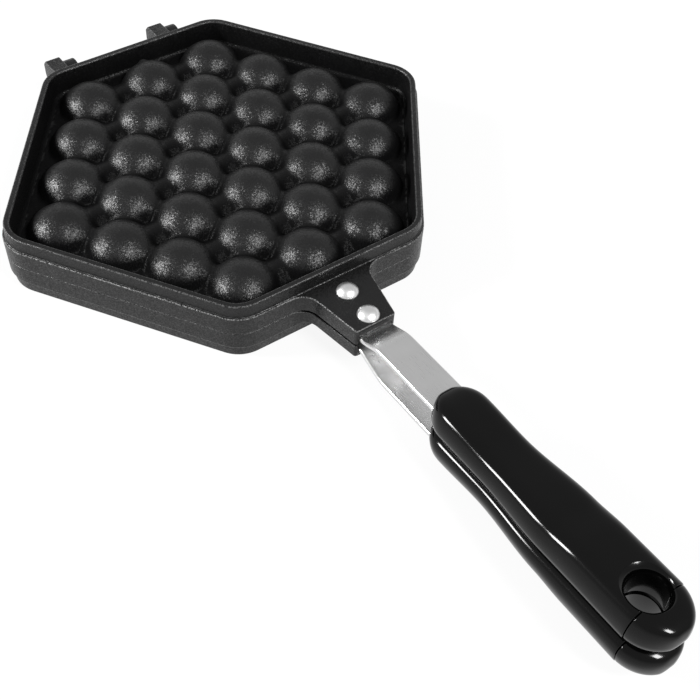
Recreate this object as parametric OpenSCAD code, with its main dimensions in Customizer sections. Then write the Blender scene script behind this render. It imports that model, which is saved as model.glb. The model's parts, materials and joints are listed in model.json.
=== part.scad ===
// Egg waffle pan: two cast halves with ball pockets, hinged at one side, on two strap handles.
// Millimetres, +Z up, +X from the pan towards the handles. Origin: middle of the footprint, on the
// plane that the lower rim rests on.

/* [Ball pockets] */
// Distance between balls along a row
ball_pitch = 32; // [31:0.5:36]
// Distance from one row to the next
row_pitch = 22.8; // [22.5:0.1:28]
// Radius of a ball pocket
pocket_r = 12; // [10:0.1:12.5]
// Wall of a dome
dome_wall = 2.2; // [1.6:0.1:2.4]
// Radius of the rounded ridges that join neighbouring domes
ridge_r = 6; // [4:0.1:7]
// Depth that the cooking face is sunk by, so that batter joins the balls
web_gap = 1.2; // [0.6:0.1:2]

/* [Cast halves] */
// How far the rim stands above the domes
rim_over = 0.5; // [0.3:0.1:5]
// Height of the flange round the parting plane
flange_h = 8.7; // [6:0.1:10]
// Width of the ledge where the rim steps in from the flange
ledge_w = 1.4; // [0.6:0.1:3]
// Wall of the rim
rim_wall = 2.6; // [2:0.1:4]
// Width of the flat sealing land
land_w = 8; // [5:0.1:9]
// Height of the floor between the domes above the parting plane
floor_h = 3.4; // [3:0.1:5]
// Distance from the last ball row to the rim at the hinge and handle ends
end_margin = 19.6; // [18:0.1:30]
// Distance from the last ball row to the rim at the four slanted sides
side_margin = 21.9; // [18:0.1:30]
// Radius of the rim's corners
corner_r = 15; // [10:0.5:25]

/* [Hinges] */
// Distance from the flange to the pin axis
hinge_reach = 12.8; // [11:0.1:20]
// Radius of the hinge pin
pin_r = 2; // [1.5:0.1:2.5]
// Radius of the upper knuckle
upper_knuckle_r = 6.6; // [5:0.1:8]
// Radius of the lower knuckle
lower_knuckle_r = 6; // [5:0.1:8]
// Width of the upper knuckle
upper_knuckle_w = 7.7; // [5:0.1:12]
// Width of the lower knuckle
lower_knuckle_w = 5.9; // [4:0.1:12]
// Height of the upper knuckle's flat top above the parting plane
upper_knuckle_top = 8.4; // [7:0.1:8.7]
// Gap between the two knuckles of a hinge
knuckle_gap = 0.5; // [0.2:0.1:1]
// Distance between the two hinges
hinge_spacing = 55.7; // [40:0.1:70]
// How far the hinges sit to the left of the middle
hinge_shift = 3.1; // [-4:0.1:4]
// Radial clearance of the pin in the upper knuckle
pin_running_gap = 0.08; // [0.02:0.01:0.1]
// Radial clearance of the pin in the lower knuckle
pin_seat_gap = 0.02; // [0.01:0.01:0.05]

/* [Tangs] */
// Length of the tang out of the flange
tang_l = 28.2; // [26:0.1:36]
// Width of the tang where it leaves the flange
tang_root_w = 29.4; // [24:0.1:36]
// Width of the tang at its end
tang_end_w = 19.2; // [18.4:0.1:24]
// Thickness of the tang over the strap
tang_t = 4.3; // [3:0.1:5]
// Height of a tang's inner face above the parting plane
tang_lift = 0.6; // [0.2:0.1:1]
// How far the lower tang's outer face stands back from its flange
lower_tang_inset = 2; // [0:0.1:2.2]
// Radius of the fillet between tang and flange
tang_fillet = 8; // [3:0.1:12]
// Clearance between the strap's edges and the tang
strap_gap = 0.2; // [0.1:0.05:0.4]

/* [Straps] */
// Width of a strap
strap_w = 16; // [14:0.1:17]
// Thickness of a strap
strap_t = 2.3; // [1.5:0.1:2.6]
// Distance from the flange to the start of a strap
strap_start = 2; // [1:0.1:3]
// Distance from the tang's end to the first bend
strap_first_bend = 1.4; // [0.5:0.1:4]
// Length of the upper strap's rise
upper_rise_l = 10.2; // [8:0.1:16]
// Length of the lower strap's rise
lower_rise_l = 14; // [8:0.1:18]
// Inside radius of the bends
bend_r = 5; // [3:0.1:8]
// Distance of a strap's middle from the plane between the handles
strap_offset = 7.9; // [7:0.1:9.5]
// Upward slope of both handles, in degrees
handle_slope = 3.5; // [0:0.1:6]
// Distance from the tang's end to where the slope starts
slope_start = 17.4; // [15:0.1:30]
// Length of a strap inside its grip
strap_in_grip = 62; // [40:1:70]
// Diameter of the two holes in a strap that its grip is moulded through
key_hole_d = 6; // [4:0.1:8]

/* [Rivets] */
// Diameter of a rivet head
rivet_head_d = 9.5; // [7:0.1:11]
// Height of a rivet head
rivet_head_h = 2.5; // [1.5:0.1:3.5]
// Diameter of a rivet shank
rivet_shank_d = 5; // [3:0.1:6]
// Diameter of a rivet tail
rivet_tail_d = 7.6; // [6:0.1:9]
// Thickness of a rivet tail
rivet_tail_h = 0.9; // [0.5:0.1:1.2]
// Distance from the flange to the rear rivet
rivet_x = 8; // [7:0.1:10]
// Distance between the two rivets
rivet_pitch = 14.7; // [12:0.1:16]

/* [Grips] */
// Distance from the start of the slope to the front of a grip
grip_front = 26.6; // [20:0.1:40]
// Length of a grip
grip_l = 123; // [110:0.5:150]
// Half width at the front bulb
bulb_half_w = 11.9; // [10:0.1:14]
// Half width at the waist
waist_half_w = 11.7; // [9.6:0.1:13]
// Half width over the palm swell
palm_half_w = 13.7; // [10:0.1:15]
// Half width at the hanging hole
rear_half_w = 13.8; // [12:0.1:16]
// Height at the front bulb
bulb_h = 14.1; // [13.5:0.1:20]
// Height at the waist
waist_h = 12.9; // [12.5:0.1:18]
// Height over the palm swell
palm_h = 14.5; // [13:0.1:22]
// Height at the hanging hole
rear_h = 15.8; // [14:0.1:22]
// Distance from the plane between the handles to a grip
grip_gap = 0.45; // [0.4:0.05:2]
// Length of the rounded front
front_cap_l = 12.5; // [8:0.5:14]
// Radius of the hanging hole
hang_hole_r = 7.8; // [5:0.1:9.5]
// Distance from the grip's end to the middle of the hanging hole
hang_hole_back = 17.4; // [16:0.1:24]

// Length over which the rear end rounds off
nose_l = 14.5; // [13.5:0.5:20]

/* [Hang rings] */
// Length of a hang ring, which is the end piece of its grip
ring_l = 13; // [12:0.1:13.5]
// How much lower a hang ring is than its grip
ring_drop = 0.3; // [0.1:0.1:1.5]
// Length of the two pegs that plug the ring into the grip
peg_l = 6; // [4:0.5:8]

/* [Hidden] */

// Radial clearance of rivet shanks and pegs in their holes
fastener_gap = 0.05;
// Overshoot of cuts past the face they open
cut_over = 1;
// Height of a hinge arm's underside above the parting plane
arm_lift = 0.8;
// Corner cut off the back of a knuckle's flat top
knuckle_corner = 2.6;
// Where an arm's underside meets its knuckle, as shares of the knuckle's radius
arm_root = [0.78, 0.58];
// Straight steps that a fillet's arc is drawn in
fillet_steps = 8;
// Depth that a ridge's ends sink into the domes, and its least length
ridge_sink = 0.3;
ridge_min_l = 1;
// Balls closer than this share of the pitch are neighbours.
neighbour_reach = 1.2;
// Places of a strap's two key holes, as shares of its length in the grip
key_shares = [0.35, 0.7];
// Diameter of a peg as a share of the wall beside the hanging hole
peg_share = 0.6;
row_count = 7;
middle_ball_count = 6;
round_fn = 64;

// Unit vectors along a heading and to its left, and a list turned round
function heading(a) = [cos(a), sin(a)];
function left_of(a) = [-sin(a), cos(a)];
function reversed(v) = [for (i = [len(v) - 1:-1:0]) v[i]];

// Ball rows: the middle row is the widest, and each next one has a ball less.
function ball_count(i) = middle_ball_count - abs(i - (row_count - 1) / 2);
function row_x(i) = (i - (row_count - 1) / 2) * row_pitch;
function ball_y(n, j) = (j - (n - 1) / 2) * ball_pitch;
balls = [for (i = [0:row_count - 1]) for (j = [0:ball_count(i) - 1]) [row_x(i), ball_y(ball_count(i), j)]];

// The rim's slanted sides run along the slanted ball rows.
slant = [row_pitch, ball_pitch / 2] / norm([row_pitch, ball_pitch / 2]);
end_reach = (row_count - 1) / 2 * row_pitch + end_margin;
side_reach = (middle_ball_count - 1) / 2 * ball_pitch * slant[0] + side_margin;
dome_r = pocket_r + dome_wall;
rim_h = dome_r + rim_over;
flange_x = end_reach + ledge_w;
pin_x = -flange_x - hinge_reach;
tang_x = flange_x + tang_l;
strap_top = flange_h - tang_t;
lower_tang_top = flange_h - lower_tang_inset;
slope_x = tang_x + slope_start;
hinge_pair_w = upper_knuckle_w + knuckle_gap + lower_knuckle_w;

// Places along the sloped handle, from where its slope starts
grip_end = grip_front + grip_l;
hole_s = grip_end - hang_hole_back;
seam_s = grip_end - ring_l;

// Footprint, for the origin
back_x = pin_x - upper_knuckle_r;
front_x = slope_x + grip_end * cos(handle_slope) - (grip_gap + rear_h / 2) * sin(handle_slope);
mid_x = (back_x + front_x) / 2;

// Corners of the six-sided outline with given distances to its end and slanted sides
function six(e, s) = let (ys = (s - slant[1] * e) / slant[0], yt = s / slant[0])
    [[-e, ys], [0, yt], [e, ys], [e, -ys], [0, -yt], [-e, -ys]];
side_normals = [[-slant[1], slant[0]], [slant[1], slant[0]], [1, 0],
                [slant[1], -slant[0]], [-slant[1], -slant[0]], [-1, 0]];
core = six(end_reach - corner_r, side_reach - corner_r);

// The rim's outline, grown outwards by a distance
module outline(grow) {
    r = corner_r + grow;
    polygon([for (i = [0:5]) each [core[i] + r * side_normals[(i + 5) % 6],
                                   core[i] + r * side_normals[i]]]);
    for (c = core) translate(c) circle(r = r, $fn = round_fn);
}

module prism(grow, z0, z1) {
    translate([0, 0, z0]) linear_extrude(z1 - z0) outline(grow);
}

// A ridge is a short bar between two neighbouring domes, its ends just inside both.
module ridge(from, to) {
    d = to - from;
    inside = sqrt(pow(dome_r, 2) - pow(ridge_r, 2)) - ridge_sink;
    translate((from + to) / 2) rotate([0, 90, atan2(d[1], d[0])])
        cylinder(r = ridge_r, h = max(norm(d) - 2 * inside, ridge_min_l), center = true,
                 $fn = round_fn);
}

module ridges() {
    for (i = [0:len(balls) - 2], j = [i + 1:len(balls) - 1])
        if (norm(balls[j] - balls[i]) < neighbour_reach * ball_pitch) ridge(balls[i], balls[j]);
}

// One cast half, its cooking face on z = 0 and its domes up
module cast_half() {
    difference() {
        union() {
            difference() {
                union() {
                    prism(ledge_w, 0, flange_h);
                    prism(0, 0, rim_h);
                }
                prism(-rim_wall, floor_h, rim_h + cut_over);
            }
            for (b = balls) translate(b) sphere(r = dome_r, $fn = round_fn);
            ridges();
        }
        for (b = balls) translate(b) sphere(r = pocket_r, $fn = round_fn);
        prism(ledge_w - land_w, -cut_over, web_gap);
        translate([-2 * end_reach, -2 * side_reach, -2 * dome_r])
            cube([4 * end_reach, 4 * side_reach, 2 * dome_r]);
    }
}

// Plan of the tang: it tapers to its end and meets the flange in two fillets.
module tang_plan() {
    w0 = tang_root_w / 2;
    w1 = tang_end_w / 2;
    a = atan((w0 - w1) / tang_l);
    c = [flange_x + tang_fillet, w0 + tang_fillet * (1 - sin(a)) / cos(a)];
    half = concat([[flange_x - ledge_w, c[1]], [flange_x, c[1]]],
                  [for (k = [1:fillet_steps])
                      c + tang_fillet * heading(180 + (90 - a) * k / fillet_steps)],
                  [[tang_x, w1]]);
    polygon(concat(half, [for (p = reversed(half)) [p[0], -p[1]]]));
}

module rivet_holes() {
    for (x = [rivet_x, rivet_x + rivet_pitch])
        translate([flange_x + x, 0, -cut_over])
            cylinder(d = rivet_shank_d + 2 * fastener_gap, h = flange_h + 2 * cut_over, $fn = round_fn);
}

// The tang up to a given height, with the channel under it that takes the strap
module tang(top) {
    difference() {
        translate([0, 0, tang_lift]) linear_extrude(top - tang_lift) tang_plan();
        translate([flange_x + strap_start - strap_gap, -strap_w / 2 - strap_gap, -cut_over])
            cube([tang_l, strap_w + 2 * strap_gap, strap_top + cut_over]);
        rivet_holes();
    }
}

// A hinge lug, over the given stretch of y: a knuckle round the pin, flat on top at the given
// height, and an arm to the flange
module lug(knuckle_r, top, bore_gap, y0, w) {
    back = pin_x - knuckle_r;
    translate([0, y0 + w, 0]) rotate([90, 0, 0]) linear_extrude(w) difference() {
        union() {
            translate([pin_x, 0]) circle(r = knuckle_r, $fn = round_fn);
            polygon([[back, 0], [back, top - knuckle_corner], [back + knuckle_corner, top],
                     [-flange_x, flange_h], [-end_reach, flange_h], [-end_reach, arm_lift],
                     [-flange_x, arm_lift],
                     [pin_x + arm_root[0] * knuckle_r, arm_root[1] * knuckle_r], [pin_x, 0]]);
        }
        translate([pin_x, 0]) circle(r = pin_r + bore_gap, $fn = round_fn);
    }
}

// Where each hinge's two knuckles start
function hinge_y(side) = -hinge_shift + side * hinge_spacing / 2 - hinge_pair_w / 2;

// What rides with the upper half is drawn as it lies; the lower half is its mirror.
module placed() {
    translate([-mid_x, 0, rim_h]) children();
}

module upper_plate() {
    color([0.16, 0.16, 0.17]) placed() union() {
        cast_half();
        tang(flange_h);
        for (side = [-1, 1])
            lug(upper_knuckle_r, upper_knuckle_top, pin_running_gap, hinge_y(side), upper_knuckle_w);
    }
}

module lower_plate() {
    color([0.14, 0.14, 0.15]) placed() mirror([0, 0, 1]) union() {
        cast_half();
        tang(lower_tang_top);
        for (side = [-1, 1])
            lug(lower_knuckle_r, lower_knuckle_r, pin_seat_gap,
                hinge_y(side) + upper_knuckle_w + knuckle_gap, lower_knuckle_w);
    }
}

// A pin runs from end to end of its hinge's two knuckles.
module hinge_pin(side) {
    placed()
        translate([pin_x, hinge_y(side) + hinge_pair_w, 0]) rotate([90, 0, 0])
            cylinder(r = pin_r, h = hinge_pair_w, $fn = round_fn);
}

module left_hinge_pin() {
    color([0.7, 0.7, 0.72]) hinge_pin(1);
}

module right_hinge_pin() {
    color([0.7, 0.7, 0.72]) hinge_pin(-1);
}

// Side view of a strap: straight under the tang, a rise, and then the sloped handle line.
// A bend is an arc from heading a0 to heading a1 about the corner c, off to one side by d.
function bend(c, a0, a1, d) =
    let (turn = a1 > a0 ? 1 : -1, r = bend_r + strap_t / 2, reach = r * tan(abs(a1 - a0) / 2),
         middle = c - reach * heading(a0) + turn * r * left_of(a0), steps = 6)
    [for (k = [0:steps]) let (a = a0 + (a1 - a0) * k / steps)
        middle - turn * (r - turn * d) * left_of(a)];

function strap_side(up, rise_l, d) =
    let (z0 = strap_top - strap_t / 2,
         first = [tang_x + strap_first_bend, z0],
         slope = up * handle_slope,
         second_x = first[0] + rise_l,
         second = [second_x, strap_offset + (second_x - slope_x) * tan(slope)],
         rise = atan2(second[1] - first[1], second[0] - first[0]),
         last = [slope_x, 0] + (grip_front + strap_in_grip) * heading(slope)
                + strap_offset * left_of(slope))
    concat([[flange_x + strap_start, z0 + d]], bend(first, 0, rise, d),
           bend(second, rise, slope, d), [last + d * left_of(slope)]);

// The lower strap is drawn as if it were an upper one whose handle slopes down, then mirrored.
module strap_body(up, rise_l) {
    translate([0, strap_w / 2, 0]) rotate([90, 0, 0]) linear_extrude(strap_w)
        polygon(concat(strap_side(up, rise_l, strap_t / 2),
                       reversed(strap_side(up, rise_l, -strap_t / 2))));
}

module strap(up, rise_l) {
    difference() {
        strap_body(up, rise_l);
        rivet_holes();
        along_handle(up) for (share = key_shares)
            translate([grip_front + share * strap_in_grip, 0, 0])
                cylinder(d = key_hole_d, h = 2 * strap_offset, $fn = round_fn);
    }
}

module upper_strap() {
    color([0.75, 0.75, 0.77]) placed() strap(1, upper_rise_l);
}

module lower_strap() {
    color([0.75, 0.75, 0.77]) placed() mirror([0, 0, 1]) strap(-1, lower_rise_l);
}

// A rivet: domed head on the tang's outer face, shank through tang and strap, flat tail behind
// the strap
module rivet(x, seat) {
    head_r = (pow(rivet_head_d / 2, 2) + pow(rivet_head_h, 2)) / (2 * rivet_head_h);
    strap_back = strap_top - strap_t;
    translate([flange_x + x, 0, 0]) {
        intersection() {
            translate([0, 0, seat + rivet_head_h - head_r]) sphere(r = head_r, $fn = round_fn);
            translate([0, 0, seat]) cylinder(d = rivet_head_d, h = 2 * rivet_head_h, $fn = round_fn);
        }
        translate([0, 0, strap_back]) cylinder(d = rivet_shank_d, h = seat - strap_back, $fn = round_fn);
        translate([0, 0, strap_back - rivet_tail_h])
            cylinder(d = rivet_tail_d, h = rivet_tail_h, $fn = round_fn);
    }
}

module upper_rear_rivet() {
    color([0.82, 0.82, 0.83]) placed() rivet(rivet_x, flange_h);
}

module upper_front_rivet() {
    color([0.82, 0.82, 0.83]) placed() rivet(rivet_x + rivet_pitch, flange_h);
}

module lower_rear_rivet() {
    color([0.82, 0.82, 0.83]) placed() mirror([0, 0, 1]) rivet(rivet_x, lower_tang_top);
}

module lower_front_rivet() {
    color([0.82, 0.82, 0.83]) placed() mirror([0, 0, 1])
        rivet(rivet_x + rivet_pitch, lower_tang_top);
}

// Frame of a handle: x along it from the start of the slope, z away from the other handle
module along_handle(up) {
    translate([slope_x, 0, 0]) rotate([0, -up * handle_slope, 0]) children();
}

// Places along a grip, as shares of its length, where its sections are given
bulb_share = 0.1;
waist_share = 0.29;
palm_share = 0.56;
rear_share = 0.68;
// Grip sections, from front to rear: place, half width, height
stations = [[0, bulb_half_w, bulb_h], [bulb_share, bulb_half_w, bulb_h],
            [waist_share, waist_half_w, waist_h], [palm_share, palm_half_w, palm_h],
            [rear_share, rear_half_w, rear_h], [1, rear_half_w, rear_h]];
function ease(t) = t * t * (3 - 2 * t);
function station_at(u, k, i = 0) =
    (i >= len(stations) - 2 || u <= stations[i + 1][0])
    ? let (t = (u - stations[i][0]) / (stations[i + 1][0] - stations[i][0]))
        stations[i][k] + (stations[i + 1][k] - stations[i][k]) * ease(min(1, max(0, t)))
    : station_at(u, k, i + 1);
// Rounding of the two ends, as a share of the full section
function front_round(s) = s >= front_cap_l ? 1 : sqrt(1 - pow(1 - s / front_cap_l, 2));
function rear_round(s) = s <= grip_l - nose_l ? 1 : sqrt(1 - pow((s - grip_l + nose_l) / nose_l, 2));
// A section is round on top and squarer on the side that faces the other handle. Its inset makes
// the hang ring lower than the grip. Towards the ends the height falls off more slowly than the
// width, down to a least share, and closes over the last part of the rounding.
end_height_share = 0.35;
end_close_rate = 3;
top_power = 2.4;
inner_power = 3.4;
section_sides = 28;
function signed_pow(v, p) = sign(v) * pow(abs(v), p);
function section(s, inset) =
    let (u = s / grip_l, k = front_round(s) * rear_round(s), h = station_at(u, 2),
         half_w = (station_at(u, 1) - inset / 2) * k,
         half_h = (h / 2 - inset) * (end_height_share + (1 - end_height_share) * k)
                  * min(1, end_close_rate * k))
    [for (i = [0:section_sides - 1])
        let (a = 360 * (i + 0.5) / section_sides, p = 2 / (sin(a) > 0 ? top_power : inner_power))
        [grip_front + s, half_w * signed_pow(cos(a), p),
         grip_gap + h / 2 + half_h * signed_pow(sin(a), p)]];

// Places of the sections: close together where the ends round over
body_steps = 16;
cap_angles = [84:-12:12];
nose_angles = [12:12:84];
body_places = concat(
    [for (a = cap_angles) front_cap_l * (1 - sin(a))],
    [for (i = [0:body_steps]) front_cap_l + i / body_steps * (grip_l - nose_l - front_cap_l)],
    [grip_l - ring_l]);
nose_places = concat(
    [grip_l - ring_l],
    [for (a = nose_angles) if (nose_l * sin(a) > nose_l - ring_l) grip_l - nose_l + nose_l * sin(a)]);

module skin(places, inset) {
    rings = len(places);
    n = section_sides;
    polyhedron(
        points = [for (s = places) each section(s, inset)],
        faces = concat(
            [[for (i = [0:n - 1]) i]],
            [for (r = [0:rings - 2]) for (i = [0:n - 1])
                [r * n + i, (r + 1) * n + i, (r + 1) * n + (i + 1) % n, r * n + (i + 1) % n]],
            [[for (i = [n - 1:-1:0]) (rings - 1) * n + i]]));
}

module hang_hole() {
    translate([hole_s, 0, -cut_over])
        cylinder(r = hang_hole_r, h = rear_h + 3 * cut_over, $fn = round_fn);
}

// The ring's two pegs, one in the wall on each side of the hanging hole
module pegs(gap) {
    wall = rear_half_w - hang_hole_r;
    for (side = [-1, 1])
        translate([seam_s - peg_l - gap, side * (hang_hole_r + wall / 2), grip_gap + rear_h / 2])
            rotate([0, 90, 0])
                cylinder(d = peg_share * wall + 2 * gap, h = peg_l + cut_over, $fn = round_fn);
}

module grip(up, rise_l) {
    difference() {
        along_handle(up) difference() {
            skin(body_places, 0);
            hang_hole();
            pegs(fastener_gap);
        }
        strap(up, rise_l);
    }
}

module hang_ring(up) {
    along_handle(up) difference() {
        union() {
            skin(nose_places, ring_drop);
            pegs(0);
        }
        hang_hole();
    }
}

module upper_grip() {
    color([0.03, 0.03, 0.03]) placed() grip(1, upper_rise_l);
}

module lower_grip() {
    color([0.03, 0.03, 0.03]) placed() mirror([0, 0, 1]) grip(-1, lower_rise_l);
}

module upper_hang_ring() {
    color([0.04, 0.04, 0.04]) placed() hang_ring(1);
}

module lower_hang_ring() {
    color([0.04, 0.04, 0.04]) placed() mirror([0, 0, 1]) hang_ring(-1);
}

upper_plate();
lower_plate();
left_hinge_pin();
right_hinge_pin();
upper_strap();
lower_strap();
upper_rear_rivet();
upper_front_rivet();
lower_rear_rivet();
lower_front_rivet();
upper_grip();
lower_grip();
upper_hang_ring();
lower_hang_ring();
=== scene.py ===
"""Dresses the egg waffle pan: cast halves, straps, rivets, pins, grips, hang rings and a plain studio.

Lengths in the shape functions are millimetres in the pan's own axes: x from the middle of the
balls towards the handles, y to the left, z up from the plane where the halves meet. to_frame()
turns them into the frame's metres.
"""
import json

import bmesh
import bpy
import numpy as np
from mathutils import Matrix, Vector
from bpy.props import FloatProperty, FloatVectorProperty, PointerProperty
from bpy.types import Operator, Panel, PropertyGroup


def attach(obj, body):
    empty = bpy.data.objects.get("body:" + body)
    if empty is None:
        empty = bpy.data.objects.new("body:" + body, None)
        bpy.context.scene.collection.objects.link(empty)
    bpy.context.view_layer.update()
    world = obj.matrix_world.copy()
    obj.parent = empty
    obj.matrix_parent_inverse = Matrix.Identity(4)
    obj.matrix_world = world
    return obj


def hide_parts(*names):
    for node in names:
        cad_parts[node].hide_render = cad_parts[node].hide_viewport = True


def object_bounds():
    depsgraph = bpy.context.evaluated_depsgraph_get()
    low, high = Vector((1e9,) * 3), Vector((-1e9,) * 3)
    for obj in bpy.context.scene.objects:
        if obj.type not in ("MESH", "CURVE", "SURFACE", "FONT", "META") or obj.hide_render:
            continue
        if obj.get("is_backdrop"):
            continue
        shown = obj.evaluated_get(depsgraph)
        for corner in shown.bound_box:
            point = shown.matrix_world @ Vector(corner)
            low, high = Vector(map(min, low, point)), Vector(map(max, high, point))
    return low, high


bl_info = {
    "name": "Egg waffle pan",
    "version": (1, 0, 0),
    "blender": (4, 5, 0),
    "location": "3D View > Sidebar > Waffle pan",
    "description": "Builds the looks of a hinged egg waffle pan",
    "category": "Object",
}

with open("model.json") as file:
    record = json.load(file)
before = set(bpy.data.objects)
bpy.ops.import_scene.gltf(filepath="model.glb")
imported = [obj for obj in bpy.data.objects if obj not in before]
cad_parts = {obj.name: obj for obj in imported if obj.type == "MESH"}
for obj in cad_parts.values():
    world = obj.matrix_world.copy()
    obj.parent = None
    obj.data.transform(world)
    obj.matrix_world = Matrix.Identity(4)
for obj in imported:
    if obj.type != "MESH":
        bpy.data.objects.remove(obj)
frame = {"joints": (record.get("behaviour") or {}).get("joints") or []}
CAD_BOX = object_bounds()

# The pin axis is the same line in the pan's axes and in the frame, which places one in the other.
PIN_X = -102.2
RIM_H = 14.7
MIDDLE_X = PIN_X - frame["joints"][0]["pos_m"][0] * 1000.0

# Camera: where it stands in the pan's axes, and its right, up and backward directions
CAMERA_AT = (338.29, -185.12, 340.48)
CAMERA_RIGHT = (0.569717, 0.820481, 0.047249)
CAMERA_UP = (-0.652165, 0.416362, 0.633501)
CAMERA_BACK = (0.500103, -0.391731, 0.772298)

# The lens and the width of the sensor behind it
LENS_MM = 56.83
SENSOR_MM = 36.0

TAU = 2.0 * np.pi


# Properties

class CastProps(PropertyGroup):
    ball_pitch: FloatProperty(
        name="Ball pitch", description="Distance between balls in a row, mm", default=32.0)
    row_pitch: FloatProperty(
        name="Row pitch", description="Distance between rows of balls, mm", default=22.8)
    dome_r: FloatProperty(
        name="Dome radius", description="Outer radius of a dome, mm", default=15.7)
    dome_drop: FloatProperty(
        name="Dome drop", description="Dome's middle below the parting plane, mm", default=1.6)
    pocket_r: FloatProperty(
        name="Pocket radius", description="Radius of a ball pocket, mm", default=12.0)
    floor_h: FloatProperty(
        name="Floor height", description="Floor between the domes, mm above the parting plane", default=3.3)
    ridge_r: FloatProperty(
        name="Ridge radius", description="Radius of the rounded ridges between domes, mm", default=8.0)
    blend_mm: FloatProperty(
        name="Blend", description="How softly domes, ridges and floor run together, mm", default=1.0)
    coat: FloatVectorProperty(
        name="Coating", description="Colour of the non-stick coating", subtype="COLOR",
        default=(0.003, 0.003, 0.0031))


class HandleProps(PropertyGroup):
    strap_w: FloatProperty(
        name="Strap width", description="Width of a steel strap, mm", default=16.0)
    strap_t: FloatProperty(
        name="Strap thickness", description="Thickness of a steel strap, mm", default=2.3)
    hole_r: FloatProperty(
        name="Hole radius", description="Radius of the hanging hole, mm", default=7.8)
    steel: FloatVectorProperty(
        name="Steel", description="Colour of the strap steel", subtype="COLOR", default=(0.72, 0.72, 0.72))
    plastic: FloatVectorProperty(
        name="Plastic", description="Colour of the grips", subtype="COLOR", default=(0.001, 0.001, 0.001))


class StageProps(PropertyGroup):
    key_w: FloatProperty(
        name="Key light", description="Power of the left soft light", default=54.0, unit="POWER")
    side_w: FloatProperty(
        name="Side light", description="Power of the right soft light", default=36.0, unit="POWER")


# Helpers

def to_frame(p):
    """Pan axes in mm to the frame's metres: a shift by the middle and the rim height, and a scale."""
    return (np.asarray(p, float) + [-MIDDLE_X, 0.0, RIM_H]) * 0.001


WELD = 2e-6
SLIVER = 1e-6


def weld(mesh, sliver=0.0):
    """Joins points that are closer than WELD metres, drops slivers and turns all faces outwards."""
    bm = bmesh.new()
    bm.from_mesh(mesh)
    bmesh.ops.remove_doubles(bm, verts=bm.verts, dist=WELD)
    if sliver:
        bmesh.ops.dissolve_degenerate(bm, edges=bm.edges, dist=sliver)
    bmesh.ops.recalc_face_normals(bm, faces=bm.faces)
    bm.to_mesh(mesh)
    bm.free()


def make_piece(name, parts, body, material, nodes):
    """One object from several (points, faces) parts in pan axes. Points that coincide are welded.
    A part's third item, if it has one, is the painted light at each point: a painted edge highlight
    from 0 to 1, or painted shade that dulls the coating, from 0 to -1."""
    points, faces, painted_light_level, base = [], [], [], 0
    for pts, fcs, *rest in parts:
        points.append(to_frame(pts))
        faces += [[i + base for i in f] for f in fcs]
        painted_light_level.append(rest[0] if rest else np.zeros(len(pts)))
        base += len(pts)
    mesh = bpy.data.meshes.new(name)
    mesh.from_pydata(np.vstack(points).tolist(), [], faces)
    # The painted light goes on the points as an attribute: painted edge highlight above 0, painted shade
    # below 0
    mesh.attributes.new("painted_light_level", "FLOAT", "POINT").data.foreach_set("value", np.concatenate(painted_light_level))
    weld(mesh, SLIVER)
    mesh.materials.append(material)
    mesh.shade_smooth()
    mesh.set_sharp_from_angle(angle=np.radians(38))
    piece = bpy.data.objects.new(name, mesh)
    bpy.context.scene.collection.objects.link(piece)
    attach(piece, body)
    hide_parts(*nodes)
    return piece


def grid_faces(rows, cols, close_rows=False, close_cols=False):
    """Four-sided faces of a grid of rows by cols points, closed round either way if asked."""
    r = np.arange(rows if close_rows else rows - 1)
    c = np.arange(cols if close_cols else cols - 1)
    r, c = np.meshgrid(r, c, indexing="ij")
    r2, c2 = (r + 1) % rows, (c + 1) % cols
    quads = np.stack([r * cols + c, r * cols + c2, r2 * cols + c2, r2 * cols + c], -1)
    return quads.reshape(-1, 4).tolist()


def end_faces(rows, cols):
    """The two flat ends of a grid that is closed round its columns."""
    return [list(range(cols))[::-1], list(range((rows - 1) * cols, rows * cols))]


def mirrored(parts):
    """The same parts for the other half: every height changes sign."""
    return [(np.asarray(p) * [1.0, 1.0, -1.0], *rest) for p, *rest in parts]


def rounded_line(points, radii, steps=4, painted_light=None):
    """A polyline whose corners are arcs: from corner c the arc starts at r / tan(half the corner's
    angle) along each side, and its points are blends of its two end radii about its centre. A
    point just before and after each arc holds the side straight. If painted_light gives each corner
    an amount of painted edge highlight, a third column holds it: whole on the arc, half at its ends,
    and nothing on the sides."""
    nearly_straight, hold_share = 1.55, 0.12
    points = np.asarray(points, float)
    out, painted_light_level = [points[0]], [0.0]
    fade = np.array([0.0, 0.5, *np.ones(steps - 1), 0.5, 0.0])
    for i in range(1, len(points) - 1):
        a, c, b, r = points[i - 1], points[i], points[i + 1], radii[i - 1]
        u, w = (a - c) / np.linalg.norm(a - c), (b - c) / np.linalg.norm(b - c)
        half = np.arccos(np.clip(u @ w, -1, 1)) / 2
        if r <= 0 or half > nearly_straight:
            out.append(c)
            painted_light_level.append(0.0)
            continue
        reach = r / np.tan(half)
        centre = c + (u + w) / np.linalg.norm(u + w) * r / np.sin(half)
        p0, p1 = c + u * reach - centre, c + w * reach - centre
        t = np.linspace(0, 1, steps + 1)[:, None]
        turn = np.arccos(np.clip(p0 @ p1 / r ** 2, -1, 1))
        arc = (np.sin((1 - t) * turn) * p0 + np.sin(t * turn) * p1) / np.sin(turn)
        hold = hold_share * r
        out += [c + u * (reach + hold), *(centre + arc), c + w * (reach + hold)]
        # Painted edge highlight: the corner's amount, faded at the arc's ends
        painted_light_level += list(fade * (painted_light[i - 1] if painted_light else 0.0))
    out.append(points[-1])
    painted_light_level.append(0.0)
    return np.column_stack([out, painted_light_level]) if painted_light else np.array(out)


# Plan of the balls and of the rim

ROWS = 7
WIDEST = 6

# How far the end sides and the slanted sides stand from the middle, the rim's corners, and the
# flange's width outside the rim
END_REACH = 88.0
SIDE_REACH = 87.4
CORNER_R = 15.0
LEDGE_W = 1.4


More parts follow.
